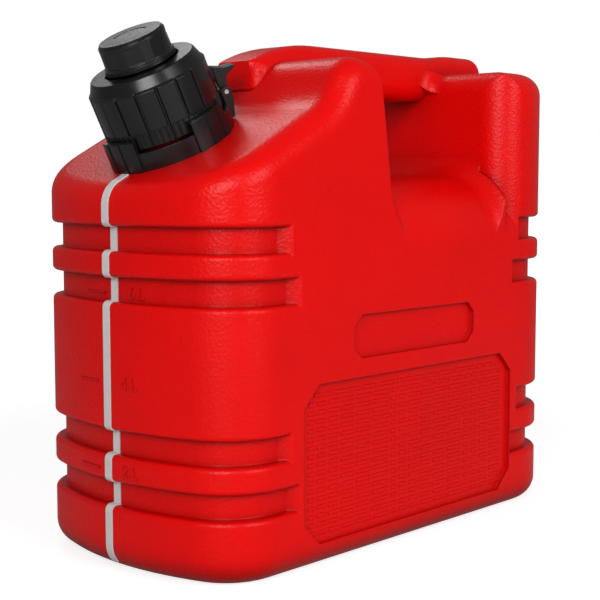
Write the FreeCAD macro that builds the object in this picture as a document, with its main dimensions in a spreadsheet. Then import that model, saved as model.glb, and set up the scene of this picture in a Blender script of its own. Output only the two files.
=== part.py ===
import FreeCAD, Part
import math
import os
import Sketcher
from FreeCAD import Placement, Rotation, Vector

# A ten litre portable fuel can: a blow moulded tank with a carrying handle,
# a tilted filler neck, a screw collar that clamps the stowed pouring spout,
# a small dust cap on the spout and a child lock lever on the neck ring.
# X is the width, Y the length with the neck at -Y, and Z is up from the floor.

SIZES = {
    # Tank, seen from above
    "tank_width": 165,
    "tank_length": 320,
    "front_bow": 177,
    "front_corner": 38,
    "rear_bow": 267,
    "rear_corner": 44,
    "wall": 3,
    # Tank, seen from the side
    "shoulder_edge": 204.5,
    "shoulder_slope": 27.5,
    "crease_back": 90.5,
    "crease_round": 32,
    "hump_slope": 62.5,
    "hump_round": 20,
    "pillar_top": 276.5,
    "base_round": 14,
    "top_round": 14,
    # Grooves round the front and the rear
    "groove_depth": 5.9,
    "groove_rim_round": 2.8,
    "groove_one_foot": 35.2,
    "groove_two_foot": 63.1,
    "groove_three_foot": 145,
    "groove_four_foot": 171.9,
    "groove_width": 13.4,
    "front_groove_end": 56,
    "rear_groove_end": 56,
    "groove_stagger": 6.5,
    "groove_end_ramp": 6,
    # Hand opening and side pockets
    "opening_floor": 210,
    "opening_front": 31,
    "opening_front_level": 254,
    "opening_front_lean": 8.3,
    "opening_rear": 90,
    "opening_corner": 14,
    "pocket_round": 40,
    "pocket_depth": 140,
    "front_pillar_round": 20,
    "rear_pillar_round": 12,
    "rear_edge_round": 20,
    "edge_step": 0.6,
    # Handle bar
    "handle_width": 40,
    "handle_bottom": 260,
    "handle_top": 288.5,
    "handle_rear_top": 291,
    "handle_front": 66,
    "handle_front_ramp": 26,
    "handle_rise_start": 98,
    "handle_rise_end": 116,
    "handle_rear": 153,
    "handle_round": 9,
    "gusset_round": 11,
    "gusset_sweep": 62,
    # Recessed panels on both sides
    "panel_depth": 2.5,
    "panel_foot": 14,
    "panel_head": 101,
    "panel_front": 95,
    "panel_rear": 97,
    "panel_corner": 12,
    "plate_foot": 111.5,
    "plate_head": 135.6,
    "plate_front": 54.5,
    "plate_rear": 56.5,
    "plate_corner": 6,
    # Pale stripe that shows the level
    "stripe_width": 5.2,
    "stripe_depth": 0.8,
    "stripe_proud": 0.7,
    "stripe_foot": 4,
    # Filler neck and its thread
    "neck_forward": 112.5,
    "neck_outer": 25.5,
    "neck_bore": 22,
    "neck_rim": 36,
    "thread_pitch": 4,
    "thread_depth": 1.4,
    "thread_start": 14,
    "thread_turns": 4,
    "thread_root": 2.2,
    "thread_crest": 1,
    "thread_gap": 0.4,
    # Neck ring with the child lock
    "ring_gap": 0.9,
    "ring_wall": 3.3,
    "ring_lug_step": 1.3,
    "ring_base": 3,
    "ring_low_wall": 10,
    "ring_lug": 17,
    "ring_window": 52,
    "ring_turn": 45,
    "lug_groove_depth": 0.7,
    "lug_groove_angle": 9,
    "lug_groove_offset": 7.5,
    "fit_gap": 0.05,
    # Screw collar
    "collar_radius": 33,
    "collar_band": 29.4,
    "collar_foot": 11,
    "flute_foot": 19.5,
    "collar_band_height": 6,
    "collar_roof": 6,
    "collar_mouth": 21,
    "collar_bevel": 1.2,
    "flute_count": 18,
    "flute_depth": 1.3,
    "flute_width": 1.8,
    "rib_count": 60,
    "rib_depth": 0.8,
    "rib_width": 1.5,
    # Spout parts stowed in the neck
    "gasket_thickness": 2,
    "gasket_inner": 22.6,
    "flange_radius": 25.2,
    "flange_thickness": 3,
    "stub_radius": 13.5,
    "stub_bore": 10.5,
    "stub_height": 18.6,
    "sleeve_radius": 14,
    "sleeve_length": 14,
    "spout_wall": 2,
    "spout_length": 118,
    "nozzle_socket": 18,
    "nozzle_length": 68,
    "nozzle_wall": 1.8,
    "nozzle_tip": 9.5,
    "breather_radius": 2.5,
    "breather_bore": 1.5,
    "breather_offset": 19,
    "breather_length": 98,
    # Dust cap and its thread
    "cap_pitch": 3,
    "cap_thread_depth": 1.1,
    "cap_thread_start": 3,
    "cap_thread_turns": 1.75,
    "cap_thread_root": 1.7,
    "cap_thread_crest": 0.8,
    "cap_radius": 19,
    "cap_flange": 19.8,
    "cap_flange_height": 2.4,
    "cap_top_radius": 17.4,
    "cap_lift_gap": 0.8,
    "cap_height": 14.4,
    "cap_roof": 2.6,
    "cap_grip_count": 8,
    "cap_grip_depth": 0.8,
    "cap_grip_width": 9,
    "cap_arc_radius": 9.3,
    "cap_arc_width": 1.3,
    "cap_arc_span": 150,
    "cap_mark_depth": 0.6,
    "cap_dot_radius": 0.7,
    "seal_thickness": 1.6,
    # Child lock lever
    "lever_turn": 65,
    "pin_radius": 1.2,
    "pin_out": 37.2,
    "pin_height": 15.6,
    "ear_thickness": 2.2,
    "lever_width": 8,
    "lever_play": 0.5,
    "lever_slot": 4.8,
    "spring_wire": 0.35,
    "spring_coil": 1.8,
    "spring_pitch": 0.76,
    "spring_turns": 4,
    "spring_upper_leg": 5,
    "spring_lower_leg": 5,
}

PARTS_FOLDER = "parts"
SHEET = "Dimensions"
FULL_TURN = 360
BEYOND = 60.0
TOUCH = 1e-4


class Size:
    """A length that knows its value and the sheet expression that gives it."""

    def __init__(self, value, text):
        self.value = value
        self.text = text

    def __add__(self, other):
        other = as_size(other)
        return Size(self.value + other.value, f"({self.text} + {other.text})")

    def __sub__(self, other):
        other = as_size(other)
        return Size(self.value - other.value, f"({self.text} - {other.text})")

    def __mul__(self, factor):
        factor = as_size(factor)
        return Size(self.value * factor.value, f"({self.text} * {factor.text})")

    def __truediv__(self, divisor):
        divisor = as_size(divisor)
        return Size(self.value / divisor.value, f"({self.text} / {divisor.text})")

    def __neg__(self):
        return Size(-self.value, f"(-1 * {self.text})")


def as_size(number):
    if isinstance(number, Size):
        return number
    return Size(float(number), repr(float(number)))


doc = FreeCAD.newDocument("FuelCan")
sheet = doc.addObject("Spreadsheet::Sheet", SHEET)
for row, (name, number) in enumerate(SIZES.items(), start=1):
    sheet.set(f"A{row}", name)
    sheet.set(f"B{row}", str(number))
    sheet.setAlias(f"B{row}", name)
doc.recompute()


def mm(name):
    """The number in a cell of the sheet."""
    return float(sheet.get(name))


def size(name):
    return Size(mm(name), f"{SHEET}.{name}")


def slope(name):
    """The rise over run of an angle that the sheet gives in degrees."""
    return math.tan(math.radians(mm(name)))


# Outlines and prisms of the tank


def rounded_wire(corners, inset, place):
    """A closed wire through (u, v, radius) corners given anticlockwise.

    A positive inset moves every side inwards, a negative one outwards, and the
    corner radii follow, so that both walls of a shell come from one outline.
    """
    sides = []
    for here, following in zip(corners, corners[1:] + corners[:1]):
        run = Vector(following[0] - here[0], following[1] - here[1], 0).normalize()
        normal = Vector(-run.y, run.x, 0)
        sides.append((Vector(here[0], here[1], 0) + normal * inset, run))
    turns = []
    for index, corner in enumerate(corners):
        turns.append(rounded_corner(corner, sides[index - 1], sides[index], inset))
    edges = []
    for index, (start, middle, end) in enumerate(turns):
        if middle is not None:
            points = [place(p.x, p.y) for p in (start, middle, end)]
            edges.append(Part.Arc(*points).toShape())
        after = turns[(index + 1) % len(turns)][0]
        line = Part.LineSegment(place(end.x, end.y), place(after.x, after.y))
        edges.append(line.toShape())
    return Part.Wire(edges)


def rounded_corner(corner, side_in, side_out, inset):
    """Start, middle and end of the arc at one corner, or one point three times."""
    cross = side_in[1].cross(side_out[1]).z
    along = (side_out[0] - side_in[0]).cross(side_out[1]).z / cross
    tip = side_in[0] + side_in[1] * along
    radius = corner[2]
    if radius > 0:
        radius += -inset if cross > 0 else inset
    if radius <= 0:
        return tip, None, tip
    turn = math.atan2(abs(cross), side_in[1].dot(side_out[1]))
    reach = radius * math.tan(turn / 2)
    start = tip - side_in[1] * reach
    end = tip + side_out[1] * reach
    towards = Vector(-side_in[1].y, side_in[1].x, 0) * math.copysign(radius, cross)
    centre = start + towards
    middle = centre + (tip - centre).normalize() * radius
    return start, middle, end


def across_tank(x):
    """Places a side view outline, drawn in Y and Z, at one X."""
    return lambda u, v: Vector(x, u, v)


def along_tank(y):
    """Places a front view outline, drawn in X and Z, at one Y."""
    return lambda u, v: Vector(u, y, v)


def above_tank(z):
    """Places a plan outline, drawn in X and Y, at one Z."""
    return lambda u, v: Vector(u, v, z)


def prism(corners, inset, place, reach):
    return Part.Face(rounded_wire(corners, inset, place)).extrude(reach)


def bowed_end(face_y, bow, corner, forward):
    """Arc points of one bowed end of the plan: forward is -1 at the front."""
    half_width = mm("tank_width") / 2
    bow_centre = face_y - forward * bow
    corner_x = half_width - corner
    offset = math.sqrt((bow - corner) ** 2 - corner_x**2)
    corner_centre = Vector(corner_x, bow_centre + forward * offset, 0)
    return Vector(0, bow_centre, 0), corner_centre


def plan_outline(inset, z):
    """The tank's outline seen from above, inset from its outer face."""
    half_length = mm("tank_length") / 2
    front = end_arcs(-half_length, mm("front_bow"), mm("front_corner"), -1, inset, z)
    rear = end_arcs(half_length, mm("rear_bow"), mm("rear_corner"), 1, inset, z)
    right = Part.LineSegment(front[0], rear[0]).toShape()
    left = Part.LineSegment(rear[1], front[1]).toShape()
    return Part.Wire(Part.__sortEdges__(front[2] + [right] + rear[2] + [left]))


def end_arcs(face_y, bow, corner, forward, inset, z):
    """Right and left side points of one end and the three arcs between them."""
    bow_centre, corner_centre = bowed_end(face_y, bow, corner, forward)
    outwards = (corner_centre - bow_centre).normalize()
    radius = corner - inset
    lift = Vector(0, 0, z)
    tangent = corner_centre + outwards * radius + lift
    middle = corner_centre + (outwards + Vector(1, 0, 0)).normalize() * radius + lift
    side = corner_centre + Vector(radius, 0, 0) + lift
    crown = Vector(0, face_y - forward * inset, z)
    arcs = [
        Part.Arc(side, middle, tangent).toShape(),
        Part.Arc(tangent, crown, mirrored(tangent)).toShape(),
        Part.Arc(mirrored(tangent), mirrored(middle), mirrored(side)).toShape(),
    ]
    return side, mirrored(side), arcs


def mirrored(point):
    return Vector(-point.x, point.y, point.z)


def plan_slab(inset, low, high):
    return Part.Face(plan_outline(inset, low)).extrude(Vector(0, 0, high - low))


def edges_at_level(shape, z):
    return [e for e in shape.Edges if all(abs(v.Z - z) < TOUCH for v in e.Vertexes)]


def rounded_level(shape, z, radius):
    if radius <= 0:
        return shape
    return shape.makeFillet(radius, edges_at_level(shape, z))


# The tank's form, once for its outside and once for its inside


def groove_feet():
    names = ("groove_one_foot", "groove_two_foot", "groove_three_foot", "groove_four_foot")
    return [mm(name) for name in names]


def banded_body(inset):
    """The lower body: a waisted core, the bands between grooves and plain sides."""
    feet = groove_feet()
    width = mm("groove_width")
    waist = mm("groove_depth") + inset
    top = feet[-1] + width + inset + 1
    pieces = [plan_slab(waist, feet[0] / 2, top)]
    starts = [0.0] + [foot + width for foot in feet[:-1]]
    rim = mm("groove_rim_round") - inset
    for low, high in zip(starts, feet):
        band = plan_slab(inset, low + inset, high - inset)
        foot_round = mm("base_round") - inset if low == 0 else rim
        band = rounded_level(band, low + inset, foot_round)
        pieces.append(rounded_level(band, high - inset, rim))
    for index, foot in enumerate(feet):
        head = min(foot + width + 4, top + 4)
        stagger = 0 if index % 2 else mm("groove_stagger")
        pieces.append(plain_sides(inset, foot - 4, head, stagger))
    return pieces[0].multiFuse(pieces[1:])


def plain_sides(inset, low, high, stagger):
    """The middle of the body, where the sides run past one groove unbroken."""
    half = mm("tank_width") / 2
    waist = half - mm("groove_depth") - mm("stripe_depth")
    half_length = mm("tank_length") / 2
    front = -(half_length - mm("front_groove_end") - stagger)
    rear = half_length - mm("rear_groove_end") - stagger
    ramp = mm("groove_end_ramp")
    rim = mm("groove_rim_round")
    corners = [
        (half, front, rim),
        (half, rear, rim),
        (waist, rear + ramp, 0),
        (-waist, rear + ramp, 0),
        (-half, rear, rim),
        (-half, front, rim),
        (-waist, front - ramp, 0),
        (waist, front - ramp, 0),
    ]
    return prism(corners, inset, above_tank(low), Vector(0, 0, high - low))


def shoulder_height(y):
    """Height of the sloped shoulder at one place along the tank."""
    from_front = y + mm("tank_length") / 2
    return mm("shoulder_edge") + from_front * slope("shoulder_slope")


def top_body(inset):
    """The body above the grooves, with the shoulder, the hump and a soft rim."""
    foot = groove_feet()[-1] + mm("groove_width") + inset
    length = mm("tank_length")
    top = mm("pillar_top")
    crease = -length / 2 + mm("crease_back")
    crease_height = shoulder_height(crease)
    hump = crease + (top - crease_height) / slope("hump_slope")
    profile = [
        (-length, foot / 2, 0),
        (length, foot / 2, 0),
        (length, top, 0),
        (hump, top, mm("hump_round")),
        (crease, crease_height, mm("crease_round")),
        (-length, shoulder_height(-length), 0),
    ]
    half = mm("tank_width") / 2
    reach = Vector(2 * half + 2 * BEYOND, 0, 0)
    keep = prism(profile, inset, across_tank(-half - BEYOND), reach)
    body = plan_slab(inset, foot, top + BEYOND).common(keep)
    body = body.makeFillet(mm("top_round") - inset, upper_rim(body, inset, foot))
    return rounded_level(body, foot, mm("groove_rim_round") - inset)


def upper_rim(body, inset, foot):
    """The edges where the top meets the sides, all the way round."""
    outline = plan_outline(inset, 0)
    rim = []
    for edge in body.Edges:
        middle = edge.valueAt((edge.FirstParameter + edge.LastParameter) / 2)
        start, end = edge.Vertexes[0].Point, edge.Vertexes[-1].Point
        upright = math.hypot(start.x - end.x, start.y - end.y) < TOUCH
        if middle.z < foot + 1 or upright:
            continue
        below = Part.Vertex(middle.x, middle.y, 0)
        if outline.distToShape(below)[0] < TOUCH:
            rim.append(edge)
    return rim


def opening_front_wall(z):
    """Where the wall in front of the hand opening stands at one height."""
    lean = math.tan(math.radians(mm("opening_front_lean")))
    return -mm("opening_front") - (z - mm("opening_front_level")) * lean


def hand_opening(inset):
    """What the hand opening and the two side pockets take away."""
    half = mm("tank_width") / 2
    floor = mm("opening_floor")
    low = mm("pocket_depth")
    high = mm("pillar_top") + BEYOND
    edge = mm("pillar_top") + mm("edge_step")
    rear = mm("opening_rear")
    over = half + BEYOND
    front_view = [
        (-over, low, 0),
        (-half, low, 0),
        (-half, floor, mm("pocket_round")),
        (half, floor, mm("pocket_round")),
        (half, low, 0),
        (over, low, 0),
        (over, high, 0),
        (-over, high, 0),
    ]
    side_view = [
        (opening_front_wall(low), low, 0),
        (rear, low, 0),
        (rear, edge, mm("rear_pillar_round")),
        (rear + BEYOND / 2, edge, 0),
        (rear + BEYOND / 2, high, 0),
        (-mm("opening_front") - BEYOND / 2, high, 0),
        (-mm("opening_front") - BEYOND / 2, edge, 0),
        (opening_front_wall(edge), edge, mm("front_pillar_round")),
    ]
    length = mm("tank_length")
    through = prism(front_view, -inset, along_tank(-length), Vector(0, 2 * length, 0))
    between = prism(side_view, -inset, across_tank(-over), Vector(2 * over, 0, 0))
    cutter = through.common(between)
    corners = floor_corners(cutter, inset)
    cutter = cutter.makeFillet(mm("opening_corner") + inset, corners)
    return cutter.fuse(rear_edge_rounding(inset, low, edge).common(through))


def floor_corners(cutter, inset):
    """The edges where the opening's floor and pockets meet its two end walls."""
    lean = math.cos(math.radians(mm("opening_front_lean")))
    half = mm("tank_width") / 2
    found = []
    for edge in cutter.Edges:
        middle = edge.valueAt((edge.FirstParameter + edge.LastParameter) / 2)
        front = opening_front_wall(middle.z) - inset / lean
        on_wall = min(abs(middle.y - front), abs(middle.y - mm("opening_rear") - inset))
        inside = abs(middle.x) < half + inset and middle.z > mm("pocket_depth")
        if on_wall < TOUCH * 10 and inside and middle.z < mm("opening_floor") + TOUCH:
            found.append(edge)
    return found


def rear_edge_rounding(inset, low, high):
    """What rounds the rear pillar's two front edges, side face to front face."""
    half = mm("tank_width") / 2
    rear = mm("opening_rear")
    radius = mm("rear_edge_round")
    over = half + BEYOND
    corners = [
        (half - radius - 2 * inset - 1, rear - 1, 0),
        (over, rear - 1, 0),
        (over, rear + 2 * radius, 0),
        (half, rear + 2 * radius, 0),
        (half, rear, radius),
        (half - radius - 2 * inset - 1, rear, 0),
    ]
    right = prism(corners, -inset, above_tank(low), Vector(0, 0, high - low + inset))
    left = right.mirror(Vector(0, 0, 0), Vector(1, 0, 0))
    return right.fuse(left)


def handle_bar(inset):
    """The bar over the hand opening, standing a little proud of both pillars."""
    front = -mm("handle_front")
    foot = mm("handle_bottom")
    top = mm("handle_top")
    rear_top = mm("handle_rear_top")
    rear = mm("handle_rear")
    profile = [
        (front, foot, 0),
        (rear, foot, 0),
        (rear, rear_top, mm("handle_round") * 1.2),
        (mm("handle_rise_end"), rear_top, mm("handle_rise_end")),
        (mm("handle_rise_start"), top, mm("handle_rise_end")),
        (front + mm("handle_front_ramp"), top, mm("handle_rise_end")),
        (front, mm("pillar_top"), 0),
    ]
    half = mm("handle_width") / 2 - inset
    bar = prism(profile, inset, across_tank(-half), Vector(2 * half, 0, 0))
    rims = []
    for edge in bar.Edges:
        sideways = all(abs(abs(v.X) - half) < TOUCH for v in edge.Vertexes)
        if sideways and abs(edge.Vertexes[0].X - edge.Vertexes[-1].X) < TOUCH:
            rims.append(edge)
    bar = bar.makeFillet(mm("handle_round") - inset, rims)
    return bar.fuse(bar_gussets(inset))


def bar_gussets(inset):
    """The curved webs between the bar's sides and the rear pillar's face."""
    half = mm("handle_width") / 2
    wall = mm("opening_rear")
    reach = mm("gusset_round")
    bend = mm("pillar_top") + mm("edge_step") - mm("rear_pillar_round")
    foot = mm("handle_bottom") + mm("edge_step")
    crest = mm("handle_top") - mm("handle_round")
    sunk = mm("handle_round") - mm("wall")
    span = reach + 2 * inset
    web = [
        (half - sunk - 2 * inset, wall + sunk + 2 * inset, 0),
        (half - sunk - 2 * inset, wall - span, 0),
        (half, wall - span, 0),
        (half, wall, reach * 0.98),
        (half + span, wall, 0),
        (half + span, wall + sunk + 2 * inset, 0),
    ]
    upright = prism(web, inset, above_tank(foot), Vector(0, 0, bend - foot))
    face = Part.Face(rounded_wire(web, inset, above_tank(bend)))
    axis = Vector(0, wall + mm("rear_pillar_round"), bend)
    over_edge = face.revolve(axis, Vector(1, 0, 0), -mm("gusset_sweep"))
    underside = [
        (wall - reach - 1, foot + reach, 0),
        (wall + sunk, foot, 0),
        (wall + 3 * reach, foot, 0),
        (wall + 3 * reach, crest, 0),
        (wall - reach - 1, crest, 0),
    ]
    across = prism(underside, inset, across_tank(0), Vector(3 * half, 0, 0))
    right = upright.fuse(over_edge).common(across)
    return right.fuse(right.mirror(Vector(0, 0, 0), Vector(1, 0, 0)))


def octagon(front, rear, foot, head, corner):
    return [
        (front + corner, foot, 0),
        (rear - corner, foot, 0),
        (rear, foot + corner, 0),
        (rear, head - corner, 0),
        (rear - corner, head, 0),
        (front + corner, head, 0),
        (front, head - corner, 0),
        (front, foot + corner, 0),
    ]


def side_panel(name, inset):
    """What one recessed panel takes out of both sides of the tank."""
    shape = octagon(
        -mm(f"{name}_front"),
        mm(f"{name}_rear"),
        mm(f"{name}_foot"),
        mm(f"{name}_head"),
        mm(f"{name}_corner"),
    )
    floor = mm("tank_width") / 2 - mm("panel_depth") - inset
    right = prism(shape, -inset, across_tank(floor), Vector(BEYOND, 0, 0))
    return right.fuse(right.mirror(Vector(0, 0, 0), Vector(1, 0, 0)))


def tank_form(inset, with_details=True):
    """The tank as one solid, with every wall moved inwards by the inset."""
    form = banded_body(inset).fuse(top_body(inset))
    if not with_details:
        return form
    form = form.cut(hand_opening(inset))
    form = form.fuse(handle_bar(inset))
    form = form.cut(side_panel("panel", inset))
    form = form.cut(side_panel("plate", inset))
    return form.removeSplitter()


# The neck's own frame, tilted with the shoulder


def neck_frame():
    """Stands on the shoulder at the neck's centre, with Z along the neck."""
    y = -mm("neck_forward")
    foot = Vector(0, y, shoulder_height(y))
    return Placement(foot, Rotation(Vector(1, 0, 0), mm("shoulder_slope")))


def turned_frame(name):
    """The neck's frame turned about the neck, so that its X points elsewhere."""
    turned = Placement(Vector(0, 0, 0), Rotation(Vector(0, 0, 1), mm(name)))
    return neck_frame().multiply(turned)


def lever_frame():
    """The frame whose X points at the child lock lever."""
    return turned_frame("lever_turn")


def neck_cylinder(radius, low, high):
    cylinder = Part.makeCylinder(radius, high - low, Vector(0, 0, low))
    cylinder.Placement = neck_frame().multiply(cylinder.Placement)
    return cylinder


def neck_thread():
    """The neck's outer thread, a ridge that winds up round it."""
    pitch = mm("thread_pitch")
    radius = mm("neck_outer")
    sunk = 0.3
    path = Part.makeHelix(pitch, pitch * mm("thread_turns"), radius)
    root = mm("thread_root") / 2
    crest = mm("thread_crest") / 2
    corners = [
        Vector(radius - sunk, 0, -root),
        Vector(radius + mm("thread_depth"), 0, -crest),
        Vector(radius + mm("thread_depth"), 0, crest),
        Vector(radius - sunk, 0, root),
    ]
    section = Part.makePolygon(corners + corners[:1])
    ridge = path.makePipeShell([section], True, True)
    ridge.translate(Vector(0, 0, mm("thread_start")))
    ridge.Placement = neck_frame().multiply(ridge.Placement)
    return ridge


def stripe_solid():
    """The pale stripe from the neck ring down the middle of the front."""
    half = mm("stripe_width") / 2
    front = -mm("tank_length") / 2
    deep = tank_form(mm("stripe_depth"), False)
    proud = tank_form(-mm("stripe_proud"), False)
    slab = Part.makeBox(
        2 * half,
        -front,
        mm("pillar_top"),
        Vector(-half, front - BEYOND, mm("stripe_foot")),
    )
    ring = mm("collar_radius") + mm("ring_gap") + mm("ring_wall") + mm("lever_play")
    clear = neck_cylinder(ring, -BEYOND, BEYOND)
    strip = proud.cut(deep).common(slab).cut(clear)
    return max(strip.Solids, key=lambda solid: solid.Volume)


def feature(name, shape):
    made = doc.addObject("Part::Feature", name)
    made.Shape = shape
    return made


def cut(label, base, tool):
    made = doc.addObject("Part::Cut", label)
    made.Base = base
    made.Tool = tool
    made.Label = label
    return made


def make_tank():
    stripe = feature("view_stripe", stripe_solid())
    outside = tank_form(0.0)
    neck = neck_cylinder(mm("neck_outer"), -mm("wall"), mm("neck_rim"))
    outside = outside.fuse(neck).fuse(neck_thread())
    outer = feature("tank_outside", outside.cut(stripe.Shape))
    bore = neck_cylinder(mm("neck_bore"), -BEYOND / 2, mm("neck_rim") + 1)
    inner = feature("tank_inside", tank_form(mm("wall")).fuse(bore))
    return [cut("tank_shell", outer, inner), stripe]


# Helpers for the pieces round the neck


def new_body(label, placement):
    made = doc.addObject("PartDesign::Body", label)
    made.Label = label
    made.Placement = placement
    return made


def new_sketch(body, name, plane):
    drawn = body.newObject("Sketcher::SketchObject", name)
    origin = [part for part in body.Origin.OriginFeatures if part.Role == plane]
    drawn.AttachmentSupport = (origin[0], [""])
    drawn.MapMode = "FlatFace"
    return drawn


def bind(drawn, kind, places, length):
    """Adds one dimension to a sketch and ties it to the sheet."""
    if length.value < 0:
        length = -length
        places = places[2:] + places[:2]
    index = drawn.addConstraint(Sketcher.Constraint(kind, *places, length.value))
    drawn.setExpression(f"Constraints[{index}]", length.text)


def fix_point(drawn, geometry, vertex, u, v):
    """Holds a sketch point at (u, v) from the sketch's origin."""
    axes = (("DistanceX", u, -2), ("DistanceY", v, -1))
    for kind, length, axis in axes:
        length = as_size(length)
        if abs(length.value) < TOUCH:
            drawn.addConstraint(
                Sketcher.Constraint("PointOnObject", geometry, vertex, axis)
            )
        else:
            bind(drawn, kind, (-1, 1, geometry, vertex), length)


def draw_outline(drawn, corners):
    """A closed outline of straight sides through corners of two sizes each."""
    corners = [(as_size(u), as_size(v)) for u, v in corners]
    points = [Vector(u.value, v.value, 0) for u, v in corners]
    count = len(points)
    for index in range(count):
        line = Part.LineSegment(points[index], points[(index + 1) % count])
        drawn.addGeometry(line, False)
    for index in range(count):
        following = (index + 1) % count
        drawn.addConstraint(
            Sketcher.Constraint("Coincident", index, 2, following, 1)
        )
    for index, (u, v) in enumerate(corners):
        fix_point(drawn, index, 1, u, v)


def draw_circle(drawn, u, v, radius):
    u, v = as_size(u), as_size(v)
    circle = Part.Circle(Vector(u.value, v.value, 0), Vector(0, 0, 1), radius.value)
    index = drawn.addGeometry(circle, False)
    fix_point(drawn, index, 3, u, v)
    constraint = drawn.addConstraint(
        Sketcher.Constraint("Radius", index, radius.value)
    )
    drawn.setExpression(f"Constraints[{constraint}]", radius.text)


def revolve(body, name, corners, kind="PartDesign::Revolution"):
    drawn = new_sketch(body, f"{name}_section", "XZ_Plane")
    draw_outline(drawn, corners)
    turned = body.newObject(kind, name)
    turned.Profile = drawn
    turned.ReferenceAxis = (drawn, ["V_Axis"])
    turned.Angle = FULL_TURN
    doc.recompute()
    return turned


def extrude(body, name, kind, plane, draw, length, middle=False, flip=False):
    """A pad or pocket of a drawn sketch, on both sides of its plane if middle."""
    drawn = new_sketch(body, f"{name}_sketch", plane)
    draw(drawn)
    made = body.newObject(kind, name)
    made.Profile = drawn
    made.Length = length.value
    made.setExpression("Length", length.text)
    made.Midplane = middle
    made.Reversed = flip
    doc.recompute()
    return made


def repeat_round(body, name, original, count):
    """Repeats a feature all the way round the body's Z axis."""
    pattern = body.newObject("PartDesign::PolarPattern", name)
    pattern.Originals = [original]
    axis = [part for part in body.Origin.OriginFeatures if part.Role == "Z_Axis"]
    pattern.Axis = (axis[0], [""])
    pattern.Angle = FULL_TURN
    pattern.Occurrences = int(count.value)
    pattern.setExpression("Occurrences", count.text)
    body.Tip = pattern
    doc.recompute()
    return pattern


def wind_thread(body, name, corners, pitch, turns):
    """A helical ridge of the given section, wound up round the Z axis."""
    drawn = new_sketch(body, f"{name}_section", "XZ_Plane")
    draw_outline(drawn, corners)
    ridge = body.newObject("PartDesign::AdditiveHelix", name)
    ridge.Profile = drawn
    ridge.ReferenceAxis = (drawn, ["V_Axis"])
    ridge.Mode = "pitch-turns-angle"
    ridge.Pitch = pitch.value
    ridge.setExpression("Pitch", pitch.text)
    ridge.Turns = turns.value
    ridge.setExpression("Turns", turns.text)
    doc.recompute()
    return ridge


def ridge_section(base, depth, centre, root, crest):
    """A trapezium that stands on a wall at one radius, outwards if depth is +."""
    sunk = Size(math.copysign(0.3, depth.value), repr(math.copysign(0.3, depth.value)))
    return [
        (base - sunk, centre - root / 2),
        (base + depth, centre - crest / 2),
        (base + depth, centre + crest / 2),
        (base - sunk, centre + root / 2),
    ]


# Heights of the stack on the neck, each from the piece below it


def gasket_top():
    return size("neck_rim") + size("gasket_thickness")


def flange_top():
    return gasket_top() + size("flange_thickness")


def collar_ceiling():
    return flange_top() + size("fit_gap")


def collar_top():
    return collar_ceiling() + size("collar_roof")


def stub_top():
    return flange_top() + size("stub_height")


def cap_foot():
    return collar_top() + size("cap_lift_gap")


def cap_ceiling():
    return stub_top() + size("fit_gap") * 2 + size("seal_thickness")


def cap_top():
    return cap_ceiling() + size("cap_roof")


def ring_outer():
    return size("collar_radius") + size("ring_gap") + size("ring_wall")


# Pieces round the neck


def make_neck_gasket():
    body = new_body("neck_gasket", neck_frame())
    inner = size("gasket_inner")
    outer = size("flange_radius")
    low = size("neck_rim")
    high = gasket_top()
    revolve(body, "gasket", [(inner, low), (outer, low), (outer, high), (inner, high)])
    return body


def make_spout_adapter():
    """The flange that the collar clamps, with a threaded stub and a sleeve."""
    body = new_body("spout_adapter", neck_frame())
    low = gasket_top()
    high = flange_top()
    bore = size("stub_bore")
    foot = low - size("sleeve_length")
    corners = [
        (bore, foot),
        (size("sleeve_radius"), foot),
        (size("sleeve_radius"), low),
        (size("flange_radius"), low),
        (size("flange_radius"), high),
        (size("stub_radius"), high),
        (size("stub_radius"), stub_top()),
        (bore, stub_top()),
    ]
    revolve(body, "adapter", corners)
    hole = size("breather_radius") + size("fit_gap")
    extrude(
        body,
        "breather_hole",
        "PartDesign::Pocket",
        "XY_Plane",
        lambda drawn: draw_circle(drawn, 0, size("breather_offset"), hole),
        high + 1,
        flip=True,
    )
    centre = cap_foot() + size("cap_thread_start")
    section = ridge_section(
        size("stub_radius"),
        size("cap_thread_depth"),
        centre,
        size("cap_thread_root"),
        size("cap_thread_crest"),
    )
    wind_thread(body, "stub_thread", section, size("cap_pitch"), size("cap_thread_turns"))
    return body


def make_spout_tube():
    body = new_body("spout_tube", neck_frame())
    inner = size("sleeve_radius") + size("fit_gap")
    outer = inner + size("spout_wall")
    high = gasket_top() - size("fit_gap")
    low = high - size("spout_length")
    revolve(body, "tube", [(inner, low), (outer, low), (outer, high), (inner, high)])
    return body


def make_spout_nozzle():
    """The tapered end that pushes over the spout tube."""
    body = new_body("spout_nozzle", neck_frame())
    tube_outer = size("sleeve_radius") + size("fit_gap") + size("spout_wall")
    tube_end = gasket_top() - size("fit_gap") - size("spout_length")
    inner = tube_outer + size("fit_gap")
    wall = size("nozzle_wall")
    high = tube_end + size("nozzle_socket")
    seat = tube_end - size("fit_gap")
    stop = size("sleeve_radius") + size("fit_gap")
    low = seat - size("nozzle_length")
    tip = size("nozzle_tip")
    corners = [
        (tip - wall, low),
        (tip, low),
        (inner + wall, seat),
        (inner + wall, high),
        (inner, high),
        (inner, seat),
        (stop, seat),
        (stop, seat - wall),
    ]
    revolve(body, "nozzle", corners)
    return body


def make_breather_tube():
    """The thin tube that lets air back in beside the spout."""
    placement = neck_frame()
    placement.Base = placement.multVec(Vector(0, mm("breather_offset"), 0))
    body = new_body("breather_tube", placement)
    high = flange_top()
    low = high - size("breather_length")
    inner = size("breather_bore")
    outer = size("breather_radius")
    revolve(body, "breather", [(inner, low), (outer, low), (outer, high), (inner, high)])
    return body


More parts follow.
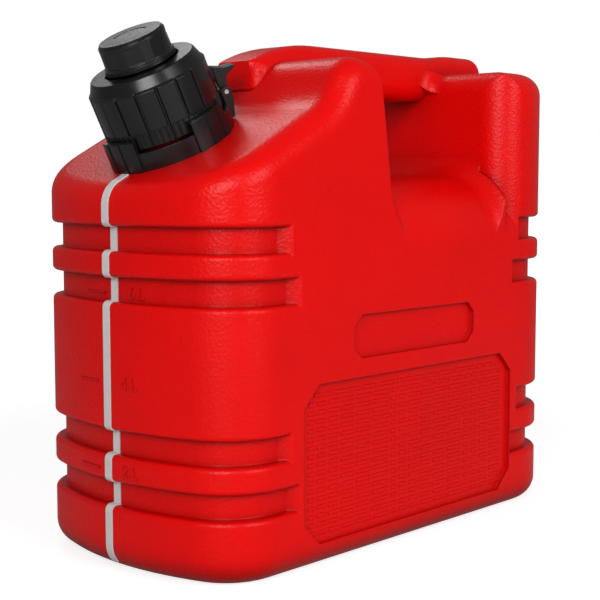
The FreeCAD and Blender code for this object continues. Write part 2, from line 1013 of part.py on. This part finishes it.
def make_screw_collar():
    """The big fluted nut that holds the spout's flange down on the neck."""
    body = new_body("screw_collar", turned_frame("ring_turn"))
    bore = size("neck_outer") + size("thread_depth") + size("thread_gap")
    outer = size("collar_radius")
    skirt = outer - size("rib_depth")
    top = collar_top()
    band_foot = top - size("collar_band_height")
    bevel = size("collar_bevel")
    corners = [
        (bore, size("collar_foot")),
        (skirt, size("collar_foot")),
        (skirt, size("flute_foot")),
        (outer, size("flute_foot")),
        (outer, band_foot - bevel),
        (outer - bevel, band_foot),
        (size("collar_band"), top - bevel / 2),
        (size("collar_band") - bevel / 2, top),
        (size("collar_mouth"), top),
        (size("collar_mouth"), collar_ceiling()),
        (bore, collar_ceiling()),
    ]
    revolve(body, "collar", corners)
    cut_flutes(body, outer, band_foot)
    add_ratchet_ribs(body, skirt)
    pitch = size("thread_pitch")
    centre = size("thread_start") + pitch / 2
    section = ridge_section(
        bore,
        -size("thread_depth"),
        centre,
        size("thread_root"),
        size("thread_crest"),
    )
    wind_thread(body, "collar_thread", section, pitch, size("thread_turns"))
    return body


def cut_flutes(body, outer, band_foot):
    """Narrow upright grooves that part the collar's grip into pads."""
    half = size("flute_width") / 2
    depth = size("flute_depth")

    def draw(drawn):
        corners = [
            (outer - depth, -half * 0.4),
            (outer + 2, -half * 2.2),
            (outer + 2, half * 2.2),
            (outer - depth, half * 0.4),
        ]
        draw_outline(drawn, corners)

    flute = extrude(
        body, "flute", "PartDesign::Pocket", "XY_Plane", draw, band_foot, flip=True
    )
    repeat_round(body, "flutes", flute, size("flute_count"))


def add_ratchet_ribs(body, skirt):
    """Fine upright ribs round the skirt that the child lock catches."""
    half = size("rib_width") / 2

    def draw(drawn):
        corners = [
            (skirt - 0.4, -half),
            (skirt + size("rib_depth"), -half * 0.3),
            (skirt + size("rib_depth"), half * 0.3),
            (skirt - 0.4, half),
        ]
        draw_outline(drawn, corners)

    rib = extrude(
        body, "rib", "PartDesign::Pad", "XY_Plane", draw, size("flute_foot") + 0.2
    )
    repeat_round(body, "ribs", rib, size("rib_count"))
    below = [
        (size("collar_radius") - 4, 0),
        (size("collar_radius") + 2, 0),
        (size("collar_radius") + 2, size("collar_foot")),
        (size("collar_radius") - 4, size("collar_foot")),
    ]
    revolve(body, "rib_trim", below, "PartDesign::Groove")


def make_lock_ring():
    """The ring round the neck's foot: four lugs, low walls and the lever's ears."""
    body = new_body("lock_ring", lever_frame())
    inner = size("collar_radius") + size("ring_gap")
    hole = size("neck_outer") + size("fit_gap")
    corners = [
        (hole, 0),
        (ring_outer(), 0),
        (ring_outer(), size("ring_lug")),
        (inner, size("ring_lug")),
        (inner, size("ring_base")),
        (hole, size("ring_base")),
    ]
    revolve(body, "ring", corners)
    cut_windows(body)
    add_lever_ears(body)
    return body


def cut_windows(body):
    """Four wide notches that leave a low, thinner wall between the lugs."""
    inner = size("collar_radius") + size("ring_gap") - 1
    step = ring_outer() - size("ring_lug_step")
    reach = ring_outer() + 4
    top = size("ring_lug") + 1
    low_wall = size("ring_low_wall")
    section = [
        (step, -1),
        (reach, -1),
        (reach, top),
        (inner, top),
        (inner, low_wall),
        (step, low_wall),
    ]
    ring_groove(body, "window", section, 0, size("ring_window"))
    groove_floor = ring_outer() - size("lug_groove_depth")
    shallow = [(groove_floor, -1), (reach, -1), (reach, top), (groove_floor, top)]
    offset = mm("lug_groove_offset")
    width = size("lug_groove_angle")
    ring_groove(body, "lug_groove_left", shallow, 45 - offset, width)
    ring_groove(body, "lug_groove_right", shallow, 45 + offset, width)


def ring_groove(body, name, section, azimuth, sweep):
    """Turns a section part of the way round the ring, at four places."""
    made = revolve(body, name, section, "PartDesign::Groove")
    made.Midplane = True
    made.Angle = sweep.value
    made.setExpression("Angle", sweep.text)
    turn = mm("ring_turn") - mm("lever_turn") + azimuth
    drawn = made.Profile[0]
    drawn.AttachmentOffset = Placement(Vector(0, 0, 0), Rotation(Vector(0, 1, 0), turn))
    doc.recompute()
    repeat_round(body, f"{name}s", made, as_size(4))


def add_lever_ears(body):
    """Two ears on the ring's wall that hold the lever's pin."""
    out = size("pin_out")
    pin = size("pin_height")
    root = size("collar_radius") + size("ring_gap")
    ear = size("ear_thickness")
    clear = size("lever_width") + size("lever_play") * 2
    around = size("pin_radius") + 1.5

    def draw_ear(drawn):
        corners = [
            (root + 0.3, 1),
            (ring_outer() - 0.2, 1),
            (out + around, pin - 4),
            (out + around, pin + 1),
            (out + 1.2, pin + around),
            (out - 1.2, pin + around),
            (root + 0.3, pin + 1),
        ]
        draw_outline(drawn, corners)

    def draw_gap(drawn):
        corners = [
            (ring_outer() - size("ring_lug_step"), -1),
            (out + around + 2, -1),
            (out + around + 2, pin + around + 2),
            (root - 1, pin + around + 2),
            (root - 1, size("ring_low_wall")),
            (ring_outer() - size("ring_lug_step"), size("ring_low_wall")),
        ]
        draw_outline(drawn, corners)

    extrude(
        body, "ears", "PartDesign::Pad", "XZ_Plane", draw_ear, clear + ear * 2, middle=True
    )
    extrude(
        body, "ear_gap", "PartDesign::Pocket", "XZ_Plane", draw_gap, clear, middle=True
    )
    hole = size("pin_radius") + size("fit_gap")
    extrude(
        body,
        "pin_holes",
        "PartDesign::Pocket",
        "XZ_Plane",
        lambda drawn: draw_circle(drawn, out, pin, hole),
        clear + ear * 3,
        middle=True,
    )


def make_lock_lever():
    """The child lock lever: a thumb fin above its pin and a pawl below it."""
    body = new_body("lock_lever", lever_frame())
    out = size("pin_out")
    pin = size("pin_height")
    pawl = size("collar_radius") + size("lever_play") + 0.2

    def draw_lever(drawn):
        corners = [
            (pawl, pin - 3.4),
            (pawl + 1.4, pin - 4.6),
            (out + 1, pin - 4.2),
            (out + 2.4, pin - 1.6),
            (out + 2.4, pin + 2.4),
            (out + 2.2, pin + 4),
            (out + 4.2, pin + 8),
            (out + 8.4, pin + 9.6),
            (out + 10.8, pin + 10.8),
            (out + 9.8, pin + 11.6),
            (out + 4, pin + 12.2),
            (out - 2.2, pin + 15),
            (out - 2.2, pin - 1),
            (pawl, pin - 2),
        ]
        draw_outline(drawn, corners)

    def draw_slot(drawn):
        corners = [
            (out - 8, pin - 8),
            (out + 6, pin - 8),
            (out + 6, pin + 2),
            (out + 2.4, pin + 5.4),
            (out - 8, pin + 5.4),
        ]
        draw_outline(drawn, corners)

    hole = size("pin_radius") + size("fit_gap")
    width = size("lever_width")
    extrude(body, "lever", "PartDesign::Pad", "XZ_Plane", draw_lever, width, middle=True)
    extrude(
        body,
        "spring_slot",
        "PartDesign::Pocket",
        "XZ_Plane",
        draw_slot,
        size("lever_slot"),
        middle=True,
    )
    extrude(
        body,
        "pin_hole",
        "PartDesign::Pocket",
        "XZ_Plane",
        lambda drawn: draw_circle(drawn, out, pin, hole),
        width * 2,
        middle=True,
    )
    return body


def make_lever_pin():
    """The steel pin through the ears, the lever and the spring's coil."""
    placement = lever_frame()
    placement.Base = placement.multVec(Vector(mm("pin_out"), 0, mm("pin_height")))
    body = new_body("lever_pin", placement)
    span = size("lever_width") + size("lever_play") * 2 + size("ear_thickness") * 2
    extrude(
        body,
        "pin",
        "PartDesign::Pad",
        "XZ_Plane",
        lambda drawn: draw_circle(drawn, 0, 0, size("pin_radius")),
        span,
        middle=True,
    )
    return body


def make_lever_spring():
    """A small torsion spring round the pin, with a leg up and a leg down."""
    wire = mm("spring_wire")
    coil = mm("spring_coil")
    turns = mm("spring_turns")
    height = mm("spring_pitch") * turns
    winding = Part.makeHelix(mm("spring_pitch"), height, coil).Edges[0]
    first = winding.valueAt(winding.FirstParameter)
    last = winding.valueAt(winding.LastParameter)
    run_in = winding.tangentAt(winding.FirstParameter)
    run_out = winding.tangentAt(winding.LastParameter)
    tip = first - run_in * mm("spring_upper_leg")
    end = last + run_out * mm("spring_lower_leg")
    upper = Part.LineSegment(tip, first).toShape()
    lower = Part.LineSegment(last, end).toShape()
    path = Part.Wire(Part.__sortEdges__([upper, winding, lower]))
    section = Part.Wire(Part.Circle(tip, run_in, wire).toShape())
    spring = path.makePipeShell([section], True, True)
    made = feature("lever_spring", spring)
    lay = Rotation(Vector(1, 0, 0), 90).multiply(Rotation(Vector(0, 0, 1), 180))
    seat = Placement(Vector(mm("pin_out"), 0, mm("pin_height")), lay)
    centred = Placement(Vector(0, 0, -height / 2), Rotation())
    made.Placement = lever_frame().multiply(seat).multiply(centred)
    return made


def make_dust_cap():
    """The small cap that screws down over the spout's stub."""
    body = new_body("dust_cap", turned_frame("ring_turn"))
    bore = size("stub_radius") + size("cap_thread_depth") + size("thread_gap")
    foot = cap_foot()
    flange = foot + size("cap_flange_height")
    top = cap_top()
    corners = [
        (bore, foot),
        (size("cap_flange"), foot),
        (size("cap_flange"), flange),
        (size("cap_radius"), flange + 0.6),
        (size("cap_radius") - 0.4, top - 1.6),
        (size("cap_top_radius"), top),
        (0, top),
        (0, cap_ceiling()),
        (bore, cap_ceiling()),
    ]
    revolve(body, "cap", corners)
    cut_grip_recesses(body, flange, top)
    cut_cap_marks(body, top)
    pitch = size("cap_pitch")
    centre = foot + size("cap_thread_start") + pitch / 2
    section = ridge_section(
        bore,
        -size("cap_thread_depth"),
        centre,
        size("cap_thread_root"),
        size("cap_thread_crest"),
    )
    wind_thread(body, "cap_thread", section, pitch, size("cap_thread_turns"))
    return body


def cut_grip_recesses(body, flange, top):
    """Flat recesses round the cap's side for finger and thumb."""
    half = size("cap_grip_width") / 2
    depth = size("cap_grip_depth")

    def draw(drawn):
        corners = [
            (-half, flange + 1.2),
            (half, flange + 1.2),
            (half, top - 3.4),
            (-half, top - 3.4),
        ]
        draw_outline(drawn, corners)

    recess = extrude(
        body,
        "grip",
        "PartDesign::Pocket",
        "YZ_Plane",
        draw,
        depth + 6,
        flip=True,
    )
    start = recess.Profile[0]
    start.AttachmentOffset = Placement(
        Vector(0, 0, (size("cap_radius") - depth).value), Rotation(0, 0, 0)
    )
    start.setExpression("AttachmentOffset.Base.z", (size("cap_radius") - depth).text)
    doc.recompute()
    repeat_round(body, "grips", recess, size("cap_grip_count"))


def cut_cap_marks(body, top):
    """A shallow arc and a centre dot sunk in the cap's top."""
    middle = math.radians(90)
    half_span = math.radians(mm("cap_arc_span") / 2)
    depth = size("cap_mark_depth")
    drawn = new_sketch(body, "cap_marks_sketch", "XY_Plane")
    inner = mm("cap_arc_radius") - mm("cap_arc_width") / 2
    outer = mm("cap_arc_radius") + mm("cap_arc_width") / 2
    low, high = middle - half_span, middle + half_span
    centre = Vector(0, 0, 0)
    up = Vector(0, 0, 1)
    for radius in (inner, outer):
        arc = Part.ArcOfCircle(Part.Circle(centre, up, radius), low, high)
        drawn.addGeometry(arc, False)
    for angle in (low, high):
        direction = Vector(math.cos(angle), math.sin(angle), 0)
        line = Part.LineSegment(direction * inner, direction * outer)
        drawn.addGeometry(line, False)
    joints = ((0, 1, 2, 1), (1, 1, 2, 2), (0, 2, 3, 1), (1, 2, 3, 2))
    for joint in joints:
        drawn.addConstraint(Sketcher.Constraint("Coincident", *joint))
    half = size("cap_arc_width") / 2
    arc_radii = (size("cap_arc_radius") - half, size("cap_arc_radius") + half)
    for geometry, radius in enumerate(arc_radii):
        drawn.addConstraint(Sketcher.Constraint("Coincident", geometry, 3, -1, 1))
        index = drawn.addConstraint(
            Sketcher.Constraint("Radius", geometry, radius.value)
        )
        drawn.setExpression(f"Constraints[{index}]", radius.text)
    draw_circle(drawn, 0, 0, size("cap_dot_radius"))
    drawn.AttachmentOffset = Placement(Vector(0, 0, top.value), Rotation(0, 0, 0))
    drawn.setExpression("AttachmentOffset.Base.z", top.text)
    marks = body.newObject("PartDesign::Pocket", "cap_marks")
    marks.Profile = drawn
    marks.Length = depth.value
    marks.setExpression("Length", depth.text)
    doc.recompute()


def make_cap_seal():
    body = new_body("cap_seal", neck_frame())
    low = stub_top() + size("fit_gap")
    high = low + size("seal_thickness")
    radius = size("stub_radius")
    revolve(body, "seal", [(0, low), (radius, low), (radius, high), (0, high)])
    return body


def make_closure():
    return [
        make_lock_ring(),
        make_lock_lever(),
        make_lever_pin(),
        make_lever_spring(),
        make_neck_gasket(),
        make_spout_adapter(),
        make_spout_tube(),
        make_spout_nozzle(),
        make_breather_tube(),
        make_screw_collar(),
        make_dust_cap(),
        make_cap_seal(),
    ]


def check_document(pieces):
    for item in doc.Objects:
        if "Invalid" in item.State or "Error" in item.State:
            raise RuntimeError(f"{item.Label} is {item.State}")
    for piece in pieces:
        shape = piece.Shape
        if shape.isNull() or not shape.isValid() or len(shape.Solids) != 1:
            raise RuntimeError(f"{piece.Label} isn't one valid solid")


def write_parts(pieces):
    os.makedirs(PARTS_FOLDER, exist_ok=True)
    for piece in pieces:
        piece.Shape.exportStep(os.path.join(PARTS_FOLDER, f"{piece.Label}.step"))
        litres = piece.Shape.Volume / 1e6
        print(f"{piece.Label}: {litres:.4f} litres of material")


pieces = make_tank() + make_closure()
doc.recompute()
check_document(pieces)
write_parts(pieces)
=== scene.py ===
import math

import bmesh
import bpy
from mathutils import Matrix, Vector


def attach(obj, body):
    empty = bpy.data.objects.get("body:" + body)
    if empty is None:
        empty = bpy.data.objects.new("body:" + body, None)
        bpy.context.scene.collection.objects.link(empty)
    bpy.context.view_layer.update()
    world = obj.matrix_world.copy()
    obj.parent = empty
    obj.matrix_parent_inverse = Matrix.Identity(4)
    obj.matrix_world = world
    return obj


# The looks of a ten litre fuel can: grained red tank, pale level stripe, black
# screw closure with its lock lever, and the small raised marks on the tank.
# Everything is in metres, with the neck towards -Y and Z up from the floor.

HALF_WIDTH = 0.0825
PANEL_DEPTH = 0.0025
PANEL_FLOOR = HALF_WIDTH - PANEL_DEPTH

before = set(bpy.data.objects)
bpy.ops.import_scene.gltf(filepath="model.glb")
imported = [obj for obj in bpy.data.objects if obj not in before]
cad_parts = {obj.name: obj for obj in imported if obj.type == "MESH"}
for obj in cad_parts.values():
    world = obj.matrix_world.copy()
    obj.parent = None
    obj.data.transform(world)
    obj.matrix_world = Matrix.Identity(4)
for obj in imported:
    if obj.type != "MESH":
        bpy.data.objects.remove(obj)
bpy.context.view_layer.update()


# Materials


def new_material(name):
    """A material with an empty node tree apart from its shader and output."""
    material = bpy.data.materials.new(name)
    material.use_nodes = True
    return material, material.node_tree.nodes["Principled BSDF"]


def add_node(material, kind, **settings):
    node = material.node_tree.nodes.new(kind)
    for setting, value in settings.items():
        setattr(node, setting, value)
    return node


def link(material, source, target):
    material.node_tree.links.new(source, target)


def object_position(material):
    return add_node(material, "ShaderNodeTexCoord").outputs["Object"]


def noise(material, position, scale, detail=2.0, roughness=0.5):
    texture = add_node(material, "ShaderNodeTexNoise")
    link(material, position, texture.inputs["Vector"])
    texture.inputs["Scale"].default_value = scale
    texture.inputs["Detail"].default_value = detail
    texture.inputs["Roughness"].default_value = roughness
    return texture.outputs["Fac"]


def spread(material, value, low_in, high_in, low_out, high_out):
    """Maps a value from one range to another."""
    node = add_node(material, "ShaderNodeMapRange")
    link(material, value, node.inputs["Value"])
    levels = (low_in, high_in, low_out, high_out)
    for socket, level in zip(("From Min", "From Max", "To Min", "To Max"), levels):
        node.inputs[socket].default_value = level
    return node.outputs["Result"]


def colour_ramp(material, value, dark, light):
    ramp = add_node(material, "ShaderNodeValToRGB")
    link(material, value, ramp.inputs["Fac"])
    ramp.color_ramp.elements[0].color = (*dark, 1)
    ramp.color_ramp.elements[1].color = (*light, 1)
    return ramp.outputs["Color"]


def bump(material, height, distance, strength=1.0, softening=0.0):
    """Fine relief, over edges softened by the given radius."""
    node = add_node(material, "ShaderNodeBump")
    link(material, height, node.inputs["Height"])
    if softening:
        edges = add_node(material, "ShaderNodeBevel", samples=6)
        edges.inputs["Radius"].default_value = softening
        link(material, edges.outputs["Normal"], node.inputs["Normal"])
    node.inputs["Distance"].default_value = distance
    node.inputs["Strength"].default_value = strength
    return node.outputs["Normal"]


def painted_recess_shade(material, colour):
    """The colour with painted shade, darker where the plastic is folded into a
    groove or corner.
    """
    # Ambient occlusion sets how much painted shade each place gets.
    recess_occlusion = add_node(material, "ShaderNodeAmbientOcclusion", samples=4)
    recess_occlusion.inputs["Distance"].default_value = 0.022
    shade = spread(material, recess_occlusion.outputs["AO"], 0.35, 0.95, 0.5, 1.0)
    kind = {"data_type": "RGBA", "blend_type": "MULTIPLY"}
    mix = add_node(material, "ShaderNodeMix", **kind)
    mix.inputs["Factor"].default_value = 1
    link(material, colour, mix.inputs["A"])
    link(material, shade, mix.inputs["B"])
    return mix.outputs["Result"]


def grained_red():
    """Blow moulded polyethylene with a fine leather grain."""
    material, shader = new_material("grained_red")
    position = object_position(material)
    cells = add_node(material, "ShaderNodeTexVoronoi", feature="SMOOTH_F1")
    link(material, position, cells.inputs["Vector"])
    cells.inputs["Scale"].default_value = 580
    cells.inputs["Smoothness"].default_value = 0.6
    height = spread(material, cells.outputs["Distance"], 0.1, 0.7, 1, 0)
    relief = bump(material, height, 0.0002, 0.5, 0.0014)
    link(material, relief, shader.inputs["Normal"])
    cloud = noise(material, position, 14, 3)
    shade = spread(material, cloud, 0.35, 0.65, 0, 1)
    dark, light = (0.70, 0.001, 0.001), (0.75, 0.0014, 0.0012)
    colour = colour_ramp(material, shade, dark, light)
    # The base colour carries painted shade in grooves and corners.
    link(material, painted_recess_shade(material, colour), shader.inputs["Base Color"])
    gloss = spread(material, cloud, 0.3, 0.7, 0.37, 0.31)
    link(material, gloss, shader.inputs["Roughness"])
    shader.inputs["Specular IOR Level"].default_value = 0.18
    return material


def moulded_black():
    """Satin black injection moulded plastic."""
    material, shader = new_material("moulded_black")
    position = object_position(material)
    fine = noise(material, position, 1500, 2)
    relief = bump(material, fine, 0.00004, 0.5, 0.0005)
    link(material, relief, shader.inputs["Normal"])
    broad = noise(material, position, 60, 3)
    dark, light = (0.004, 0.004, 0.0044), (0.007, 0.007, 0.0074)
    colour = colour_ramp(material, broad, dark, light)
    link(material, colour, shader.inputs["Base Color"])
    gloss = spread(material, broad, 0.3, 0.7, 0.27, 0.21)
    link(material, gloss, shader.inputs["Roughness"])
    shader.inputs["Specular IOR Level"].default_value = 0.45
    return material


def pale_stripe():
    """Translucent off white plastic of the level stripe."""
    material, shader = new_material("pale_stripe")
    position = object_position(material)
    broad = noise(material, position, 90, 3)
    dark, light = (0.60, 0.58, 0.57), (0.68, 0.66, 0.65)
    colour = colour_ramp(material, broad, dark, light)
    link(material, colour, shader.inputs["Base Color"])
    fine = noise(material, position, 900, 2)
    link(material, bump(material, fine, 0.00005, 0.5), shader.inputs["Normal"])
    shader.inputs["Roughness"].default_value = 0.38
    shader.inputs["Subsurface Weight"].default_value = 0.25
    shader.inputs["Subsurface Radius"].default_value = (0.002, 0.002, 0.002)
    return material


def seal_rubber():
    material, shader = new_material("seal_rubber")
    position = object_position(material)
    fine = noise(material, position, 700, 3)
    dark, light = (0.018, 0.018, 0.018), (0.03, 0.03, 0.03)
    colour = colour_ramp(material, fine, dark, light)
    link(material, colour, shader.inputs["Base Color"])
    link(material, bump(material, fine, 0.00006, 0.6), shader.inputs["Normal"])
    shader.inputs["Roughness"].default_value = 0.7
    return material


def bright_steel():
    material, shader = new_material("bright_steel")
    position = object_position(material)
    drawn = noise(material, position, 1200, 2)
    dark, light = (0.62, 0.62, 0.63), (0.78, 0.78, 0.78)
    colour = colour_ramp(material, drawn, dark, light)
    link(material, colour, shader.inputs["Base Color"])
    gloss = spread(material, drawn, 0.3, 0.7, 0.2, 0.32)
    link(material, gloss, shader.inputs["Roughness"])
    shader.inputs["Metallic"].default_value = 1
    return material


RED = grained_red()
BLACK = moulded_black()
STRIPE = pale_stripe()
RUBBER = seal_rubber()
STEEL = bright_steel()

NODE_MATERIALS = {
    "tank_shell": RED,
    "view_stripe": STRIPE,
    "lock_ring": BLACK,
    "lock_lever": BLACK,
    "lever_pin": STEEL,
    "lever_spring": STEEL,
    "neck_gasket": RUBBER,
    "spout_adapter": BLACK,
    "spout_tube": BLACK,
    "spout_nozzle": BLACK,
    "breather_tube": BLACK,
    "screw_collar": BLACK,
    "dust_cap": BLACK,
    "cap_seal": RUBBER,
}


def dress(obj, material):
    obj.data.materials.clear()
    obj.data.materials.append(material)


for node_name, node_material in NODE_MATERIALS.items():
    dress(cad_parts[node_name], node_material)


# Raised marks on the tank


def new_piece(name, form, material, body):
    """Turns a bmesh into a piece that rides on a body of the can."""
    bmesh.ops.recalc_face_normals(form, faces=form.faces)
    mesh = bpy.data.meshes.new(name)
    form.to_mesh(mesh)
    form.free()
    piece = bpy.data.objects.new(name, mesh)
    bpy.context.scene.collection.objects.link(piece)
    dress(piece, material)
    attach(piece, body)
    return piece


def low_bar(form, place, length, height, relief, side):
    """A flat topped bar on one side of the tank, centred on a place."""
    made = bmesh.ops.create_cube(form, size=1)
    corners = made["verts"]
    bmesh.ops.scale(form, vec=(relief, length, height), verts=corners)
    outer = [v for v in corners if v.co.x * side > 0]
    slope = Vector((1, 1 - relief / length, 1 - relief / height))
    bmesh.ops.scale(form, vec=slope, verts=outer)
    out, along, up = place
    bmesh.ops.translate(form, vec=(side * out, along, up), verts=corners)


ROW_COUNT = 17
ROW_PITCH = 0.0047
LOWEST_ROW = 0.0195
PANEL_REACH = 0.095
PANEL_MARGIN = 0.005
# Rows below the first height and above the second end in a rounded corner.
CORNER_HEIGHTS = (0.0205, 0.0895)
BAR_HEIGHT = 0.0027
BAR_RELIEF = 0.0007
BAR_GAP = 0.0017
SHORT_BAR = 0.0055
BAR_STEP = 0.0018
BAR_LENGTHS = 6
LEAST_BAR = 0.002


def panel_rows(side):
    """Rows of low bars, set out like brickwork, in the big panel of one side."""
    form = bmesh.new()
    for row in range(ROW_COUNT):
        z = LOWEST_ROW + row * ROW_PITCH
        corner = max(CORNER_HEIGHTS[0] - z, z - CORNER_HEIGHTS[1], 0)
        end = PANEL_REACH - (corner + PANEL_MARGIN)
        y = -end
        step = row
        while y < end:
            size = (step * 7 + row * 5) % BAR_LENGTHS
            length = min(SHORT_BAR + BAR_STEP * size, end - y)
            if length > LEAST_BAR:
                place = (PANEL_FLOOR, y + length / 2, z)
                low_bar(form, place, length, BAR_HEIGHT, BAR_RELIEF, side)
            y += length + BAR_GAP
            step += 1
    side_name = "right" if side > 0 else "left"
    return new_piece(f"panel_rows_{side_name}", form, RED, "tank")


NUMBER_HEIGHT = 0.009
NUMBER_RELIEF = 0.0005
TICK_SIZE = (0.017, 0.001, 0.0011)
MARK_ACROSS = 0.0165


def raised_number(name, text, height, place, turn):
    """A plain raised number, with its foot on the surface at a place."""
    curve = bpy.data.curves.new(name, "FONT")
    curve.body = text
    curve.size = height
    curve.extrude = NUMBER_RELIEF
    curve.align_x = "CENTER"
    curve.align_y = "CENTER"
    words = bpy.data.objects.new(name, curve)
    bpy.context.scene.collection.objects.link(words)
    bpy.context.view_layer.update()
    mesh = bpy.data.meshes.new_from_object(words)
    bpy.data.objects.remove(words)
    form = bmesh.new()
    form.from_mesh(mesh)
    bpy.data.meshes.remove(mesh)
    bmesh.ops.remove_doubles(form, verts=form.verts, dist=0.00001)
    upright = Matrix.Rotation(math.radians(90), 3, "X")
    outwards = Matrix.Rotation(turn, 3, "Z")
    bmesh.ops.rotate(form, matrix=upright, verts=form.verts)
    bmesh.ops.rotate(form, matrix=outwards, verts=form.verts)
    bmesh.ops.translate(form, vec=place, verts=form.verts)
    return new_piece(name, form, RED, "tank")


FRONT_BOW = 0.177
FRONT_FACE = -0.160
GROOVE_DEPTH = 0.0059


def on_front(across, z, depth):
    """A point on the bowed front or a groove's floor, and the turn to face out."""
    bow = FRONT_BOW - depth
    turn = across / bow
    x = bow * math.sin(turn)
    y = FRONT_FACE + FRONT_BOW - bow * math.cos(turn)
    return Vector((x, y, z)), turn


def level_mark(number, z, depth=0):
    """A tick beside the stripe and the litres at its level."""
    form = bmesh.new()
    tick = bmesh.ops.create_cube(form, size=1)["verts"]
    bmesh.ops.scale(form, vec=TICK_SIZE, verts=tick)
    place, turn = on_front(-MARK_ACROSS, z, depth)
    bmesh.ops.rotate(form, matrix=Matrix.Rotation(turn, 3, "Z"), verts=tick)
    bmesh.ops.translate(form, vec=place, verts=tick)
    new_piece(f"level_tick_{number}", form, RED, "tank")
    place, turn = on_front(MARK_ACROSS, z, depth)
    name = f"level_number_{number}"
    raised_number(name, number + " L", NUMBER_HEIGHT, place, turn)


for tank_side in (1, -1):
    panel_rows(tank_side)
level_mark("2", 0.0551)
level_mark("4", 0.1022)
level_mark("6", 0.1494, depth=GROOVE_DEPTH)


# Room, lamps and camera


def white_backdrop():
    """White for the eye and for reflections, softer as a lamp."""
    world = bpy.data.worlds.new("studio")
    bpy.context.scene.world = world
    world.use_nodes = True
    tree = world.node_tree
    plain = tree.nodes["Background"]
    plain.inputs["Color"].default_value = (1, 1, 1, 1)
    plain.inputs["Strength"].default_value = 0.2
    seen = tree.nodes.new("ShaderNodeBackground")
    seen.inputs["Color"].default_value = (1, 1, 1, 1)
    seen.inputs["Strength"].default_value = 1.0
    ray = tree.nodes.new("ShaderNodeLightPath")
    mix = tree.nodes.new("ShaderNodeMixShader")
    tree.links.new(ray.outputs["Is Camera Ray"], mix.inputs["Fac"])
    tree.links.new(plain.outputs["Background"], mix.inputs[1])
    tree.links.new(seen.outputs["Background"], mix.inputs[2])
    surface = tree.nodes["World Output"].inputs["Surface"]
    tree.links.new(mix.outputs["Shader"], surface)


def pale_floor():
    """A floor that shows white but keeps the can's shadow."""
    form = bmesh.new()
    bmesh.ops.create_grid(form, x_segments=1, y_segments=1, size=6)
    mesh = bpy.data.meshes.new("floor")
    form.to_mesh(mesh)
    form.free()
    floor = bpy.data.objects.new("floor", mesh)
    bpy.context.scene.collection.objects.link(floor)
    material, shader = new_material("floor_white")
    shader.inputs["Base Color"].default_value = (0.5, 0.5, 0.5, 1)
    shader.inputs["Roughness"].default_value = 0.9
    shader.inputs["Emission Color"].default_value = (1, 1, 1, 1)
    away = add_node(material, "ShaderNodeVectorMath", operation="LENGTH")
    link(material, object_position(material), away.inputs[0])
    far_white = spread(material, away.outputs["Value"], 0.35, 1.3, 0.74, 1.0)
    ray = add_node(material, "ShaderNodeLightPath")
    glow = add_node(material, "ShaderNodeMath", operation="MULTIPLY")
    link(material, ray.outputs["Is Camera Ray"], glow.inputs[0])
    link(material, far_white, glow.inputs[1])
    link(material, glow.outputs["Value"], shader.inputs["Emission Strength"])
    dress(floor, material)


CAN_MIDDLE = (0, 0, 0.15)
CAP_TOP = (0, -0.1, 0.26)


def area_lamp(name, place, aim, breadth, power):
    lamp = bpy.data.lights.new(name, "AREA")
    lamp.shape = "SQUARE"
    lamp.size = breadth
    lamp.energy = power
    holder = bpy.data.objects.new(name, lamp)
    holder.location = place
    direction = Vector(aim) - Vector(place)
    holder.rotation_euler = direction.to_track_quat("-Z", "Y").to_euler()
    bpy.context.scene.collection.objects.link(holder)


CAMERA_LENS = 77.243
CAMERA_PLACE = (0.537505, -0.584917, 0.210683)
CAMERA_DOWN = 5.443
CAMERA_HEADING = 43.088


def set_camera():
    """The photograph's place and angle."""
    data = bpy.data.cameras.new("camera")
    data.sensor_width = 36
    data.lens = CAMERA_LENS
    camera = bpy.data.objects.new("camera", data)
    camera.location = CAMERA_PLACE
    tilt = math.radians(90 - CAMERA_DOWN)
    camera.rotation_euler = (tilt, 0, math.radians(CAMERA_HEADING))
    bpy.context.scene.collection.objects.link(camera)
    bpy.context.scene.camera = camera


white_backdrop()
pale_floor()
area_lamp("side_lamp", (1.75, -0.05, 0.8), CAN_MIDDLE, breadth=0.9, power=15)
area_lamp("front_lamp", (0.95, -1.35, 0.75), CAN_MIDDLE, breadth=0.8, power=18)
area_lamp("top_lamp", (-1.12, 0.42, 1.36), CAP_TOP, breadth=0.45, power=2.8)
set_camera()

bpy.context.scene.view_settings.view_transform = "Standard"
